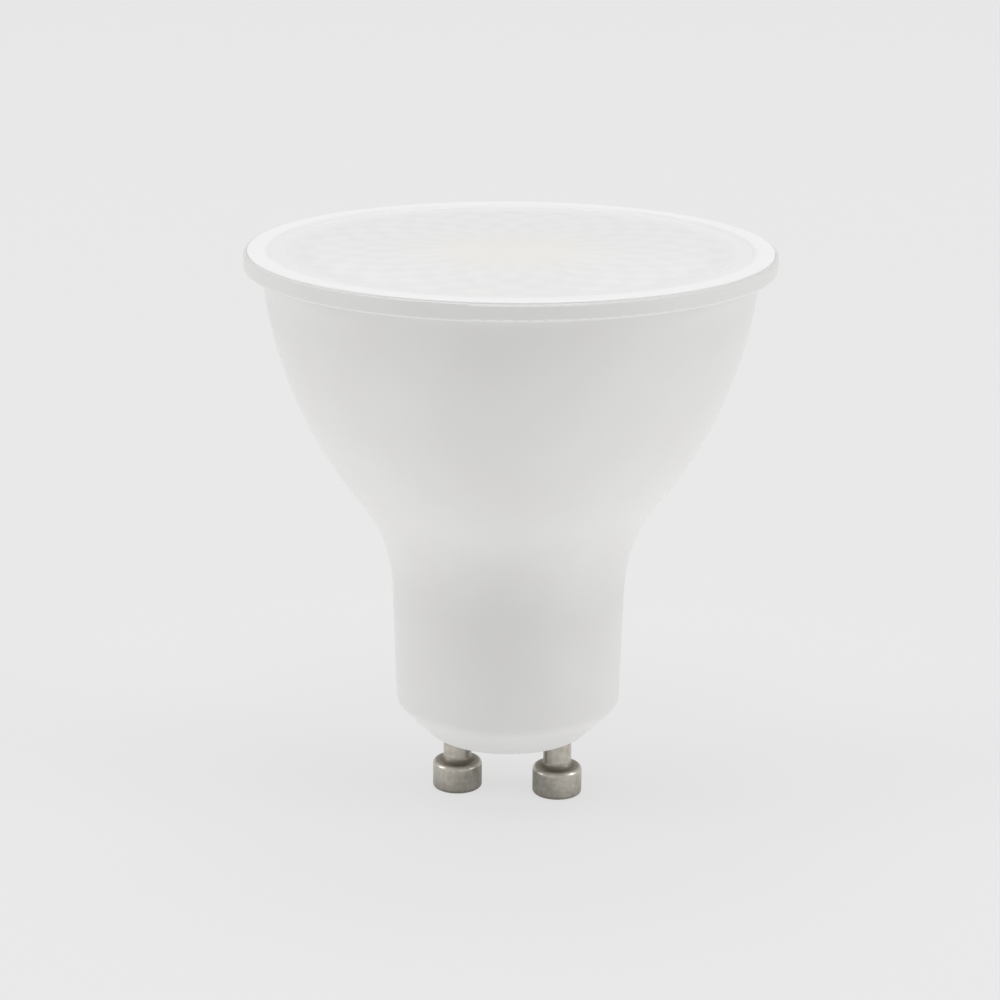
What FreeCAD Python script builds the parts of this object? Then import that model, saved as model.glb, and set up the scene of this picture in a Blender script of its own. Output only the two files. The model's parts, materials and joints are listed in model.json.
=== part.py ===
import FreeCAD, Part
import math
import os
import re
import Sketcher

from FreeCAD import Placement, Rotation, Vector

# GU10 spotlight lamp. Millimetres. The lamp's axis is Z, with the end faces of its two contact
# pins at z = 0, the pins side by side along X, and the lens facing up.

# Driving sizes. Angles are in degrees.
SIZES = {
    # Whole lamp, from the pins' end faces to the front of the lens
    "lamp_height": 54.7,
    # Flat base and the bevel that the holder's seat grips
    "base_height": 6.75,
    "base_flat_radius": 7.85,
    "base_edge_round": 0.4,
    "bevel_angle": 45,
    "bevel_round": 1.5,
    # Neck, which widens a little towards the bell
    "neck_radius": 10.93,
    "neck_draft": 1.65,
    "neck_top": 21.6,
    # Bell: a hollow sweep out of the neck, then a full curve up to the mouth
    "sweep_radius": 15,
    "bell_radius": 41.6,
    # Lip round the mouth
    "lip_radius": 25,
    "lip_height": 1.75,
    "lip_overhang": 1.65,
    "lip_round": 0.3,
    # Shell walls and the step that the lens sits on
    "shell_wall": 1.4,
    "floor_thickness": 1.8,
    "seat_rim": 0.3,
    "seat_depth": 0.85,
    "rim_drop": 0.15,
    "rim_round": 0.2,
    # Bosses and slots moulded inside the neck
    "boss_radius": 3.1,
    "boss_height": 2.2,
    "slot_wall": 0.9,
    "slot_grip": 0.9,
    "slot_clearance": 0.1,
    "slot_stop": 2.6,
    # Contact pins
    "pin_spacing": 10,
    "pin_head_radius": 2.435,
    "pin_head_height": 2.85,
    "pin_head_round": 0.45,
    "pin_tip_round": 0.3,
    "pin_neck_radius": 1.39,
    "pin_fillet_share": 0.9,
    "pin_collar_radius": 2.1,
    "pin_collar_depth": 1.1,
    "pin_collar_height": 0.8,
    "pin_tail_height": 1.6,
    "pin_bore_depth": 2.4,
    "pin_fit": 0.02,
    # Lens: front ring, plate and faceted collimator
    "lens_fit": 0.02,
    "ring_width": 2.1,
    "ring_rise": 0.2,
    "ring_slope": 0.35,
    "ring_round": 0.15,
    "plate_thickness": 2.2,
    "plug_clearance": 0.35,
    "optic_height": 14.1,
    "collimator_clearance": 1.4,
    "collimator_foot_radius": 8.6,
    "well_foot_radius": 7,
    "well_top_radius": 6.3,
    "well_height": 4.6,
    "well_roof_radius": 11.4,
    # LED packages: one in the middle and a ring round it
    "led_gap": 0.5,
    "led_length": 3.5,
    "led_width": 2.8,
    "led_height": 0.7,
    "led_ring_radius": 4.6,
    "phosphor_radius": 1.15,
    "phosphor_taper": 0.2,
    "phosphor_depth": 0.45,
    # LED board, thermal pad and heat sink cup
    "led_board_thickness": 1.2,
    "led_board_clearance": 0.2,
    "pad_thickness": 0.3,
    "pad_margin": 0.5,
    "cup_fit": 0.1,
    "cup_wall": 1,
    "cup_floor": 1.2,
    "cup_corner": 1.2,
    "cup_rim_gap": 0.4,
    # Board screws
    "screw_head_radius": 1.9,
    "screw_head_height": 1,
    "screw_head_round": 0.4,
    "screw_radius": 1.1,
    "screw_length": 4.4,
    "screw_clearance": 0.25,
    "screw_thread_fit": 0.02,
    "screw_edge": 1,
    "recess_depth": 0.5,
    "recess_width": 0.5,
    # Insulating plate
    "plate_disc_thickness": 0.8,
    "plate_disc_clearance": 0.2,
    # Driver board
    "driver_set_back": 3,
    "driver_thickness": 1,
    "driver_side_clearance": 0.25,
    "driver_headroom": 0.9,
    # Wires
    "wire_radius": 0.6,
    "conductor_radius": 0.3,
    "conductor_fit": 0.04,
    "wire_stub": 0.4,
    "wire_tip": 0.6,
    "wire_hole_clearance": 0.15,
    "pin_wire_up": 3.8,
    "pin_wire_bend": 2.5,
    "output_wire_down": 4.5,
    "output_wire_across": 1.7,
    "output_wire_bend": 5.5,
    "output_wire_edge": 3.4,
    # Leads and lands of the driver's parts
    "lead_radius": 0.25,
    "lead_bend": 0.6,
    "part_seat": 0.05,
    "edge_margin": 0.3,
    # Film capacitor
    "film_length": 6.4,
    "film_thickness": 3.6,
    "film_height": 6,
    "film_round": 0.6,
    "film_pitch": 5,
    "film_up": 2.6,
    # Input capacitor
    "input_can_radius": 3.15,
    "input_can_length": 10,
    "input_can_up": 6.6,
    "input_can_pitch": 2.2,
    # Output capacitor
    "output_can_radius": 2.5,
    "output_can_length": 6,
    "output_can_down": 8.8,
    "output_can_pitch": 2,
    # Groove rolled into both cans
    "can_groove_depth": 0.25,
    "can_groove_height": 1.2,
    "can_round": 0.3,
    # Choke
    "choke_radius": 3,
    "choke_height": 6.8,
    "choke_flange": 1.1,
    "choke_core_radius": 1.5,
    "choke_fit": 0.05,
    "choke_winding_inset": 0.4,
    "choke_pitch": 3,
    "choke_up": 8.2,
    # Fusible resistor
    "fusible_radius": 1.1,
    "fusible_length": 5.4,
    "fusible_cap_radius": 1.25,
    "fusible_cap_length": 1.1,
    "fusible_down": 8,
    "fusible_across": -0.5,
    # Bridge rectifier
    "bridge_length": 4.7,
    "bridge_width": 3.8,
    "bridge_thickness": 1.5,
    "bridge_leg_pitch": 2.5,
    "bridge_leg_width": 0.6,
    "bridge_across": 4.4,
    "bridge_up": 11.4,
    # Driver chip
    "chip_length": 4.9,
    "chip_width": 3.9,
    "chip_thickness": 1.5,
    "chip_leg_pitch": 1.27,
    "chip_leg_width": 0.4,
    "chip_across": 0,
    "chip_up": 6.2,
    # Gull-wing legs of the bridge, the chip and the diode
    "leg_thickness": 0.2,
    "leg_reach": 1,
    "leg_height": 0.7,
    "body_standoff": 0.1,
    # Freewheel diode
    "diode_length": 2.6,
    "diode_width": 4.3,
    "diode_thickness": 2,
    "diode_leg_width": 1.5,
    "diode_across": 4.1,
    "diode_down": 4.2,
    # Chip resistors and capacitor
    "resistor_length": 3.2,
    "resistor_width": 1.6,
    "resistor_thickness": 0.55,
    "resistor_across": -5.6,
    "resistor_low_up": 6.8,
    "resistor_high_up": 9.5,
    "capacitor_length": 2,
    "capacitor_width": 1.25,
    "capacitor_thickness": 0.8,
    "capacitor_across": -1,
    "capacitor_up": 12.6,
    "land_length": 0.5,
    "land_thickness": 0.04,
    # How far cutters pass the faces that they cut through
    "cut_overrun": 1,
}

# Places that follow from the sizes
PLACES = {
    # Outside of the shell
    "lip_bottom": "=lamp_height - lip_height",
    "mouth_radius": "=lip_radius - lip_overhang",
    "bevel_top": "=base_height + (neck_radius - base_flat_radius) / tan(bevel_angle * 1deg)",
    "neck_top_radius": "=neck_radius + (neck_top - bevel_top) * tan(neck_draft * 1deg)",
    # Centres of the two curves of the bell, which meet smoothly where it turns
    "sweep_centre_r": "=neck_top_radius + sweep_radius * cos(neck_draft * 1deg)",
    "sweep_centre_z": "=neck_top - sweep_radius * sin(neck_draft * 1deg)",
    "mouth_dr": "=mouth_radius - sweep_centre_r",
    "mouth_dz": "=lip_bottom - sweep_centre_z",
    "mouth_distance": "=sqrt(mouth_dr ^ 2 + mouth_dz ^ 2)",
    "centre_distance": "=sweep_radius + bell_radius",
    "turn_cosine": "=(centre_distance ^ 2 + mouth_distance ^ 2 - bell_radius ^ 2)"
                   " / (2 * centre_distance * mouth_distance)",
    "turn_angle": "=atan2(mouth_dz; mouth_dr) + acos(turn_cosine)",
    "turn_r": "=sweep_centre_r + sweep_radius * cos(turn_angle)",
    "turn_z": "=sweep_centre_z + sweep_radius * sin(turn_angle)",
    "bell_centre_r": "=sweep_centre_r + centre_distance * cos(turn_angle)",
    "bell_centre_z": "=sweep_centre_z + centre_distance * sin(turn_angle)",
    # Inside of the shell, one wall in from the outside
    "inner_sweep_radius": "=sweep_radius + shell_wall",
    "inner_bell_radius": "=bell_radius - shell_wall",
    "floor_top": "=base_height + floor_thickness",
    "floor_radius": "=base_flat_radius + floor_thickness * tan(bevel_angle * 1deg)"
                    " - shell_wall / cos(bevel_angle * 1deg)",
    "inner_bevel_top": "=bevel_top + (shell_wall / cos(bevel_angle * 1deg)"
                       " - shell_wall / cos(neck_draft * 1deg))"
                       " / (tan(bevel_angle * 1deg) - tan(neck_draft * 1deg))",
    "inner_neck_radius": "=neck_radius + (inner_bevel_top - bevel_top) * tan(neck_draft * 1deg)"
                         " - shell_wall / cos(neck_draft * 1deg)",
    "inner_neck_top_r": "=neck_top_radius - shell_wall * cos(neck_draft * 1deg)",
    "inner_neck_top_z": "=neck_top + shell_wall * sin(neck_draft * 1deg)",
    "inner_turn_r": "=sweep_centre_r + inner_sweep_radius * cos(turn_angle)",
    "inner_turn_z": "=sweep_centre_z + inner_sweep_radius * sin(turn_angle)",
    "seat_z": "=lamp_height - seat_depth",
    "rim_z": "=lamp_height - rim_drop",
    "seat_radius": "=lip_radius - seat_rim",
    "inner_mouth_radius": "=bell_centre_r"
                          " + sqrt(inner_bell_radius ^ 2 - (seat_z - bell_centre_z) ^ 2)",
    # Lens
    "lens_radius": "=seat_radius - lens_fit",
    "ring_inner_radius": "=lip_radius - ring_width",
    "ring_foot_radius": "=ring_inner_radius - ring_slope",
    "plate_front": "=lamp_height - ring_rise",
    "plate_back": "=lamp_height - plate_thickness",
    "plug_radius": "=inner_mouth_radius - plug_clearance",
    "optic_bottom": "=lamp_height - optic_height",
    "well_low_z": "=optic_bottom + well_height",
    "well_edge_z": "=well_low_z + well_roof_radius"
                   " - sqrt(well_roof_radius ^ 2 - well_top_radius ^ 2)",
    # Stack under the lens
    "led_board_top": "=optic_bottom - led_gap - led_height",
    "led_board_bottom": "=led_board_top - led_board_thickness",
    "cup_floor_top": "=led_board_bottom - pad_thickness",
    "cup_floor_bottom": "=cup_floor_top - cup_floor",
    "plate_disc_bottom": "=cup_floor_bottom - plate_disc_thickness",
    "cup_rim_z": "=plate_back - cup_rim_gap",
    "cup_outer_curve": "=inner_bell_radius - cup_fit",
    "cup_inner_curve": "=cup_outer_curve - cup_wall",
    "cup_rim_outer_r": "=bell_centre_r + sqrt(cup_outer_curve ^ 2 - (cup_rim_z - bell_centre_z) ^ 2)",
    "cup_rim_inner_r": "=bell_centre_r + sqrt(cup_inner_curve ^ 2 - (cup_rim_z - bell_centre_z) ^ 2)",
    "collimator_mouth_radius": "=cup_rim_inner_r - collimator_clearance",
    "cup_foot_outer_r": "=bell_centre_r"
                        " + sqrt(cup_outer_curve ^ 2 - (cup_floor_bottom - bell_centre_z) ^ 2)",
    "cup_foot_inner_r": "=bell_centre_r"
                        " + sqrt(cup_inner_curve ^ 2 - (cup_floor_top - bell_centre_z) ^ 2)",
    "led_board_radius": "=cup_foot_inner_r - cup_corner - led_board_clearance",
    "screw_circle": "=led_board_radius - screw_head_radius - screw_edge",
    "plate_disc_radius": "=bell_centre_r + sqrt(inner_bell_radius ^ 2"
                         " - (plate_disc_bottom - bell_centre_z) ^ 2) - plate_disc_clearance",
    # Pins and their bosses
    "pin_collar_bottom": "=base_height + pin_collar_depth",
    "pin_neck_fillet": "=pin_fillet_share * (pin_head_radius - pin_head_round - pin_neck_radius)",
    "pin_collar_top": "=pin_collar_bottom + pin_collar_height",
    "boss_top": "=floor_top + boss_height",
    "pin_tail_top": "=boss_top + pin_tail_height",
    "pin_bore_radius": "=conductor_radius + conductor_fit",
    "pin_bore_bottom": "=pin_tail_top - pin_bore_depth",
    # Driver board in its slots
    "board_bottom": "=inner_bevel_top + slot_stop",
    "board_top": "=plate_disc_bottom - driver_headroom",
    "board_front": "=-driver_set_back",
    "board_back": "=-(driver_set_back + driver_thickness)",
    "neck_radius_at_board": "=inner_neck_radius + slot_stop * tan(neck_draft * 1deg)",
    "board_half_width": "=sqrt(neck_radius_at_board ^ 2 - board_back ^ 2) - driver_side_clearance",
    "rib_root_low": "=inner_neck_radius + shell_wall / 2",
    "rib_root_high": "=inner_neck_top_r + shell_wall / 2",
    # Wires
    "pin_wire_z": "=board_bottom + pin_wire_up",
    "output_wire_z": "=board_top - output_wire_down",
    "output_wire_y": "=-(led_board_radius - output_wire_edge)",
    # Parts on the front of the driver board
    "film_z": "=board_bottom + film_up",
    "input_can_x": "=board_half_width - slot_grip - edge_margin - input_can_radius",
    "input_can_y": "=board_front + part_seat + input_can_radius",
    "input_can_z": "=board_bottom + input_can_up",
    "output_can_x": "=-(board_half_width - edge_margin - output_can_radius)",
    "output_can_y": "=board_front + part_seat + output_can_radius",
    "output_can_z": "=board_top - output_can_down",
    "choke_x": "=-(board_half_width - slot_grip - edge_margin - choke_radius)",
    "choke_z": "=board_bottom + choke_up",
    "choke_y": "=board_front + part_seat",
    "choke_top_flange": "=choke_height - choke_flange",
    "choke_winding_low": "=choke_flange + choke_fit",
    "choke_winding_high": "=choke_top_flange - choke_fit",
    "choke_winding_radius": "=choke_radius - choke_winding_inset",
    "choke_winding_bore": "=choke_core_radius + choke_fit",
    "fusible_y": "=board_front + part_seat + fusible_cap_radius",
    "fusible_z": "=board_top - fusible_down - fusible_length / 2",
    # Middles of the parts on the back of the driver board
    "bridge_z": "=board_bottom + bridge_up",
    "chip_z": "=board_bottom + chip_up",
    "diode_z": "=board_top - diode_down",
    "low_resistor_z": "=board_bottom + resistor_low_up",
    "high_resistor_z": "=board_bottom + resistor_high_up",
    "small_capacitor_z": "=board_bottom + capacitor_up",
    # Phosphor in the LED packages
    "phosphor_foot_radius": "=phosphor_radius - phosphor_taper",
    "phosphor_bottom": "=led_height - phosphor_depth",
}

LED_RING_COUNT = 6
FACET_COUNT = 48
FACET_TIERS = 4
SCREW_SIDES = (-1, 1)
# How near an edge's radius and height must be to the ones named, in millimetres
EDGE_TOLERANCE = 1e-4

doc = FreeCAD.newDocument("gu10_spotlight")
sheet = doc.addObject("Spreadsheet::Sheet", "Dims")
for row, (alias, content) in enumerate([*SIZES.items(), *PLACES.items()], start=1):
    sheet.set(f"A{row}", alias)
    sheet.set(f"B{row}", str(content))
    sheet.setAlias(f"B{row}", alias)
doc.recompute()

subparts = []


def number(term):
    """Millimetres of a size or place, which may carry a minus sign, or of zero."""
    if term == 0:
        return 0.0
    if term.startswith("-"):
        return -number(term[1:])
    return float(getattr(sheet, term))


def bound(term):
    """The formula of a term, with the sheet's name before each size or place."""
    return re.sub(r"[a-z]\w+", r"Dims.\g<0>", str(term))


def bind(thing, prop, term):
    thing.setExpression(prop, bound(term))


def place(thing, x=0, y=0, z=0):
    for axis, term in zip("xyz", (x, y, z)):
        if term != 0:
            bind(thing, f"Placement.Base.{axis}", term)
    return thing


def keep(thing, node):
    """Makes the object a sub-part under its node's name."""
    thing.Label = node
    subparts.append(thing)
    return thing


# Sketches and turned solids


def arc_side(start, end, radius, turn):
    """An arc between two points, with its centre to the left for turn 1 and the right for -1.
    Also gives which end of the arc each point is."""
    chord = end - start
    middle = start + chord * 0.5
    left = Vector(-chord.y, chord.x, 0).normalize()
    rise = math.sqrt(max(radius ** 2 - (chord.Length / 2) ** 2, 0))
    centre = middle + left * (rise * turn)
    first, last = (start, end) if turn > 0 else (end, start)
    low = math.atan2(first.y - centre.y, first.x - centre.x)
    high = math.atan2(last.y - centre.y, last.x - centre.x)
    if high < low:
        high += 2 * math.pi
    side = Part.ArcOfCircle(Part.Circle(centre, Vector(0, 0, 1), radius), low, high)
    return (side, 1, 2) if turn > 0 else (side, 2, 1)


def outline(body, name, corners, arcs=None):
    """A closed sketch in the XZ plane. Every corner is a pair of places, and arcs gives the
    radius and turn of the side that follows a corner, by the corner's number."""
    arcs = arcs or {}
    sketch = body.newObject("Sketcher::SketchObject", name)
    plane = next(item for item in body.Origin.OriginFeatures if item.Role == "XZ_Plane")
    sketch.AttachmentSupport = [(plane, "")]
    sketch.MapMode = "FlatFace"
    points = [Vector(number(x), number(y), 0) for x, y in corners]
    ends = []
    for index, start in enumerate(points):
        end = points[(index + 1) % len(points)]
        if index in arcs:
            radius, turn = arcs[index]
            side, first, last = arc_side(start, end, number(radius), turn)
        else:
            side, first, last = Part.LineSegment(start, end), 1, 2
        sketch.addGeometry(side)
        ends.append((first, last))
    for index, (x, y) in enumerate(corners):
        corner = (index, ends[index][0])
        before = (index - 1) % len(corners)
        sketch.addConstraint(Sketcher.Constraint("Coincident", before, ends[before][1], *corner))
        for kind, term, value in (("DistanceX", x, points[index].x), ("DistanceY", y, points[index].y)):
            if term == 0:
                axis = -2 if kind == "DistanceX" else -1
                sketch.addConstraint(Sketcher.Constraint("PointOnObject", *corner, axis))
            else:
                added = sketch.addConstraint(Sketcher.Constraint(kind, -1, 1, *corner, value))
                bind(sketch, f"Constraints[{added}]", term)
        if index in arcs:
            radius = arcs[index][0]
            added = sketch.addConstraint(Sketcher.Constraint("Radius", index, number(radius)))
            bind(sketch, f"Constraints[{added}]", radius)
    return sketch


def turned(name, corners, arcs=None):
    """A body made by turning one outline about Z."""
    body = doc.addObject("PartDesign::Body", name)
    sketch = outline(body, f"{name}_outline", corners, arcs)
    solid = body.newObject("PartDesign::Revolution", f"{name}_turned")
    solid.Profile = sketch
    solid.ReferenceAxis = (sketch, ["V_Axis"])
    solid.Angle = 360
    body.Tip = solid
    doc.recompute()
    return body


def round_circles(body, name, radius, circles):
    """Rounds the circular edges of a turned body that have the given radius and height."""
    base = body.Tip
    wanted = [(number(r), number(z)) for r, z in circles]
    chosen = []
    for index, edge in enumerate(base.Shape.Edges, start=1):
        if isinstance(edge.Curve, Part.Circle):
            ring = (edge.Curve.Radius, edge.Curve.Center.z)
            if any(math.dist(ring, want) < EDGE_TOLERANCE for want in wanted):
                chosen.append(f"Edge{index}")
    rounded = body.newObject("PartDesign::Fillet", f"{body.Name}_{name}")
    rounded.Base = (base, chosen)
    bind(rounded, "Radius", radius)
    body.Tip = rounded
    doc.recompute()


# Primitives


def box(name, length, width, height, x=0, y=0, z=0):
    thing = doc.addObject("Part::Box", name)
    bind(thing, "Length", length)
    bind(thing, "Width", width)
    bind(thing, "Height", height)
    return place(thing, x, y, z)


def cylinder(name, radius, height, x=0, y=0, z=0, along=Vector(0, 0, 1)):
    thing = doc.addObject("Part::Cylinder", name)
    thing.Placement = Placement(Vector(), Rotation(Vector(0, 0, 1), along))
    bind(thing, "Radius", radius)
    bind(thing, "Height", height)
    return place(thing, x, y, z)


def cone(name, low_radius, high_radius, height, x=0, y=0, z=0):
    thing = doc.addObject("Part::Cone", name)
    bind(thing, "Radius1", low_radius)
    bind(thing, "Radius2", high_radius)
    bind(thing, "Height", height)
    return place(thing, x, y, z)


def fuse(name, shapes):
    joined = doc.addObject("Part::MultiFuse", name)
    joined.Shapes = shapes
    joined.Refine = True
    return joined


def cut(name, base, tools):
    tool = tools[0] if len(tools) == 1 else fuse(f"{name}_tools", tools)
    left_over = doc.addObject("Part::Cut", name)
    left_over.Base = base
    left_over.Tool = tool
    return left_over


# Wires and leads


def bent_path(points, bend):
    """Straight runs through the points, joined by arcs of one radius."""
    edges = []
    start = points[0]
    for before, corner, after in zip(points, points[1:], points[2:]):
        back = (before - corner).normalize()
        on = (after - corner).normalize()
        reach = bend / math.tan(back.getAngle(on) / 2)
        inward = (back + on).normalize()
        middle = corner + inward * (math.hypot(bend, reach) - bend)
        edges.append(Part.LineSegment(start, corner + back * reach).toShape())
        edges.append(Part.Arc(corner + back * reach, middle, corner + on * reach).toShape())
        start = corner + on * reach
    edges.append(Part.LineSegment(start, points[-1]).toShape())
    return Part.Wire(edges)


def round_tube(path, radius):
    first = path.Edges[0]
    start = first.valueAt(first.FirstParameter)
    heading = first.tangentAt(first.FirstParameter)
    section = Part.Wire([Part.Circle(start, heading, radius).toShape()])
    return path.makePipeShell([section], True, False)


def lead(name, points, radius="lead_radius", bend="lead_bend"):
    """A round wire along a bent path."""
    path = bent_path(points, number(bend)) if len(points) > 2 else Part.Wire(
        [Part.LineSegment(*points).toShape()])
    wire = doc.addObject("Part::Feature", name)
    wire.Shape = round_tube(path, number(radius))
    wire.Placement = Placement()
    return wire


# Housing


def make_housing():
    shell = turned("shell", [
        (0, "base_height"),
        ("base_flat_radius", "base_height"),
        ("neck_radius", "bevel_top"),
        ("neck_top_radius", "neck_top"),
        ("turn_r", "turn_z"),
        ("mouth_radius", "lip_bottom"),
        ("lip_radius", "lip_bottom"),
        ("lip_radius", "rim_z"),
        ("seat_radius", "rim_z"),
        ("seat_radius", "seat_z"),
        ("inner_mouth_radius", "seat_z"),
        ("inner_turn_r", "inner_turn_z"),
        ("inner_neck_top_r", "inner_neck_top_z"),
        ("inner_neck_radius", "inner_bevel_top"),
        ("floor_radius", "floor_top"),
        (0, "floor_top"),
    ], {
        3: ("sweep_radius", -1),
        4: ("bell_radius", 1),
        10: ("inner_bell_radius", -1),
        11: ("inner_sweep_radius", 1),
    })
    round_circles(shell, "bevel_rounding", "bevel_round", [("neck_radius", "bevel_top")])
    round_circles(shell, "base_rounding", "base_edge_round", [("base_flat_radius", "base_height")])
    round_circles(shell, "lip_rounding", "lip_round",
                  [("lip_radius", "lip_bottom"), ("mouth_radius", "lip_bottom")])
    round_circles(shell, "rim_rounding", "rim_round", [("lip_radius", "rim_z")])

    # Ribs that hold the driver board's edges, kept inside the neck's wall by a cone
    ribs = []
    slots = []
    rib_depth = "driver_thickness + 2 * slot_wall"
    rib_y = "board_back - slot_wall"
    slot_depth = "driver_thickness + 2 * slot_clearance"
    slot_y = "board_back - slot_clearance"
    rib_length = "neck_radius - board_half_width + slot_grip"
    rib_height = "neck_top - inner_bevel_top"
    for side, rib_x, slot_x in (
        ("right", "board_half_width - slot_grip", "board_half_width - slot_grip"),
        ("left", "-neck_radius", "-board_half_width - slot_clearance"),
    ):
        block = box(f"{side}_rib_block", rib_length, rib_depth, rib_height,
                    rib_x, rib_y, "inner_bevel_top")
        limit = cone(f"{side}_rib_limit", "rib_root_low", "rib_root_high", rib_height,
                     z="inner_bevel_top")
        rib = doc.addObject("Part::MultiCommon", f"{side}_rib")
        rib.Shapes = [block, limit]
        ribs.append(rib)
        slots.append(box(f"{side}_slot", "slot_grip + slot_clearance", slot_depth,
                         rib_height, slot_x, slot_y, "board_bottom"))

    # Bosses round the pins, and the seats that the pins are moulded into
    bosses = []
    seats = []
    for side, x in (("left", "-pin_spacing / 2"), ("right", "pin_spacing / 2")):
        bosses.append(cylinder(f"{side}_boss", "boss_radius", "boss_height + floor_thickness / 2",
                               x, 0, "floor_top - floor_thickness / 2"))
        seats.append(cylinder(f"{side}_pin_hole", "pin_neck_radius + pin_fit",
                              "boss_top - base_height + 2 * pin_fit",
                              x, 0, "base_height - pin_fit"))
        seats.append(cylinder(f"{side}_collar_seat", "pin_collar_radius + pin_fit",
                              "pin_collar_height + 2 * pin_fit",
                              x, 0, "pin_collar_bottom - pin_fit"))
    moulded = fuse("moulded_shell", [shell, *ribs, *bosses])
    keep(cut("housing_cut", moulded, slots + seats), "housing")


# Contact pins


def make_pins():
    for side, x in (("left", "-pin_spacing / 2"), ("right", "pin_spacing / 2")):
        pin = turned(f"{side}_pin", [
            (0, 0),
            ("pin_head_radius", 0),
            ("pin_head_radius", "pin_head_height"),
            ("pin_neck_radius", "pin_head_height"),
            ("pin_neck_radius", "pin_collar_bottom"),
            ("pin_collar_radius", "pin_collar_bottom"),
            ("pin_collar_radius", "pin_collar_top"),
            ("pin_neck_radius", "pin_collar_top"),
            ("pin_neck_radius", "pin_tail_top"),
            ("pin_bore_radius", "pin_tail_top"),
            ("pin_bore_radius", "pin_bore_bottom"),
            (0, "pin_bore_bottom"),
        ])
        round_circles(pin, "tip_rounding", "pin_tip_round", [("pin_head_radius", 0)])
        round_circles(pin, "head_rounding", "pin_head_round",
                      [("pin_head_radius", "pin_head_height")])
        round_circles(pin, "neck_fillet", "pin_neck_fillet",
                      [("pin_neck_radius", "pin_head_height")])
        place(pin, x)
        keep(pin, f"contact_pin_{side}")


# Lens


def make_lens():
    plate = turned("lens_plate", [
        (0, "plate_back"),
        ("plug_radius", "plate_back"),
        ("plug_radius", "seat_z"),
        ("lens_radius", "seat_z"),
        ("lens_radius", "lamp_height"),
        ("ring_inner_radius", "lamp_height"),
        ("ring_foot_radius", "plate_front"),
        (0, "plate_front"),
    ])
    round_circles(plate, "ring_rounding", "ring_round",
                  [("ring_inner_radius", "lamp_height"), ("lens_radius", "lamp_height")])

    # Flat facets in tiers, whose corners lie on a parabola that opens towards the front
    rings = []
    for tier in range(FACET_TIERS + 1):
        share = tier / FACET_TIERS
        ring = doc.addObject("Part::RegularPolygon", f"facet_ring_{tier}")
        ring.Polygon = FACET_COUNT
        ring.setExpression("Circumradius", f"sqrt(Dims.collimator_foot_radius ^ 2 + {share} * ("
                           "Dims.collimator_mouth_radius ^ 2 - Dims.collimator_foot_radius ^ 2))")
        height = "optic_height - plate_thickness / 2"
        place(ring, z=f"optic_bottom + {share} * ({height})")
        rings.append(ring)
    collimator = doc.addObject("Part::Loft", "collimator")
    collimator.Sections = rings
    collimator.Solid = True
    collimator.Ruled = True

    # Well over the LEDs, with a convex roof that gathers their light
    well = turned("led_well", [
        (0, "led_board_top"),
        ("well_foot_radius", "led_board_top"),
        ("well_foot_radius", "optic_bottom"),
        ("well_top_radius", "well_edge_z"),
        (0, "well_low_z"),
    ], {3: ("well_roof_radius", -1)})
    keep(cut("lens_cut", fuse("lens_blank", [plate, collimator]), [well]), "lens")


# Stack under the lens


def through_holes(name, bottom, depth, wire_hole, screw_hole):
    """Cutters for the two screws and the two output wires, through one layer of the stack."""
    length = f"{depth} + 2 * cut_overrun"
    start = f"{bottom} - cut_overrun"
    cutters = []
    for side in SCREW_SIDES:
        hand = "right" if side > 0 else "left"
        cutters.append(cylinder(f"{name}_{hand}_screw_hole", screw_hole, length,
                                f"{side} * screw_circle", 0, start))
        cutters.append(cylinder(f"{name}_{hand}_wire_hole", wire_hole, length,
                                f"{side} * output_wire_across", "output_wire_y", start))
    return cutters


def make_heat_sink_cup():
    cup = turned("cup", [
        (0, "cup_floor_bottom"),
        ("cup_foot_outer_r", "cup_floor_bottom"),
        ("cup_rim_outer_r", "cup_rim_z"),
        ("cup_rim_inner_r", "cup_rim_z"),
        ("cup_foot_inner_r", "cup_floor_top"),
        (0, "cup_floor_top"),
    ], {1: ("cup_outer_curve", 1), 3: ("cup_inner_curve", -1)})
    round_circles(cup, "inside_rounding", "cup_corner", [("cup_foot_inner_r", "cup_floor_top")])
    round_circles(cup, "outside_rounding", "cup_corner + cup_wall",
                  [("cup_foot_outer_r", "cup_floor_bottom")])
    holes = through_holes("cup", "cup_floor_bottom", "cup_floor",
                          "wire_radius + 2 * wire_hole_clearance", "screw_radius + screw_thread_fit")
    keep(cut("cup_cut", cup, holes), "heat_sink_cup")


def make_stack_discs():
    discs = (
        ("led_board", "led_board_radius", "led_board_thickness", "led_board_bottom",
         "conductor_radius + conductor_fit"),
        ("thermal_pad", "led_board_radius - pad_margin", "pad_thickness", "cup_floor_top",
         "wire_radius + 2 * wire_hole_clearance"),
        ("insulating_plate", "plate_disc_radius", "plate_disc_thickness", "plate_disc_bottom",
         "wire_radius + wire_hole_clearance"),
    )
    for node, radius, thickness, bottom, wire_hole in discs:
        disc = cylinder(f"{node}_disc", radius, thickness, z=bottom)
        holes = through_holes(node, bottom, thickness, wire_hole, "screw_radius + screw_clearance")
        keep(cut(f"{node}_cut", disc, holes), node)


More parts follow.
